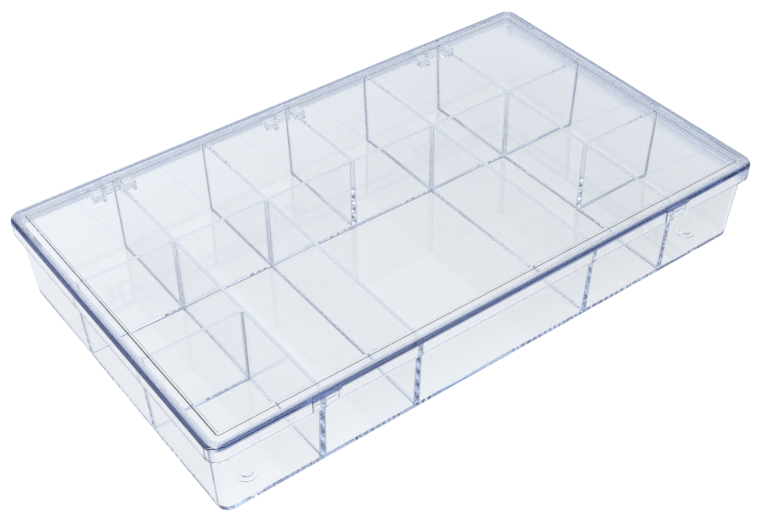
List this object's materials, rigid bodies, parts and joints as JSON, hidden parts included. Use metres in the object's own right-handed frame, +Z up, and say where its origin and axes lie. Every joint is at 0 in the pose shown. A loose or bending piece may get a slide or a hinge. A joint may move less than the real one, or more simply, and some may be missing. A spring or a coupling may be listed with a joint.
{
  "type": "parts sorting tray",
  "caption": "Shallow clear plastic box with fixed dividers, a hinged lid with a raised rim, and latch tabs at the front.",
  "frame": {"origin": "centre of the tray's flat underside", "axes": "+X along the long side to the right, +Y from the latch side to the hinge side, +Z up"},
  "size_m": [0.278, 0.1709, 0.0415],
  "materials": {
    "clear_tray": "clear gloss",
    "clear_lid": "clear gloss"
  },
  "bodies": {
    "tray": {"column_divider_1": "clear_tray", "column_divider_2": "clear_tray", "column_divider_3": "clear_tray", "column_divider_4": "clear_tray", "column_divider_5": "clear_tray", "floor_boss_left": "clear_tray", "floor_boss_right": "clear_tray", "front_catch_left": "clear_tray", "front_catch_right": "clear_tray", "hinge_ears_centre": "clear_tray", "hinge_ears_left": "clear_tray", "hinge_ears_right": "clear_tray", "left_row_divider": "clear_tray", "rear_row_divider": "clear_tray", "right_row_divider": "clear_tray", "tray_floor": "clear_tray", "tray_front_left_corner": "clear_tray", "tray_front_right_corner": "clear_tray", "tray_front_wall": "clear_tray", "tray_left_wall": "clear_tray", "tray_rear_left_corner": "clear_tray", "tray_rear_right_corner": "clear_tray", "tray_rear_wall": "clear_tray", "tray_right_wall": "clear_tray"},
    "lid": {"hinge_lug_centre": "clear_lid", "hinge_lug_left": "clear_lid", "hinge_lug_right": "clear_lid", "hinge_pins_centre": "clear_lid", "hinge_pins_left": "clear_lid", "hinge_pins_right": "clear_lid", "latch_tab_left": "clear_lid", "latch_tab_right": "clear_lid", "lid_front_left_rim_corner": "clear_lid", "lid_front_left_skirt_corner": "clear_lid", "lid_front_right_rim_corner": "clear_lid", "lid_front_right_skirt_corner": "clear_lid", "lid_front_rim": "clear_lid", "lid_front_skirt": "clear_lid", "lid_left_rim": "clear_lid", "lid_left_skirt": "clear_lid", "lid_panel": "clear_lid", "lid_rear_left_rim_corner": "clear_lid", "lid_rear_left_skirt_corner": "clear_lid", "lid_rear_right_rim_corner": "clear_lid", "lid_rear_right_skirt_corner": "clear_lid", "lid_rear_rim": "clear_lid", "lid_rear_skirt": "clear_lid", "lid_right_rim": "clear_lid", "lid_right_skirt": "clear_lid"}
  },
  "joints": [
    {"name": "lid_hinge", "type": "hinge", "parent": "tray", "child": "lid", "pos_m": [0, 0.08495, 0.0302], "axis": [-1, 0, 0], "range_deg": [0, 180]}
  ]
}
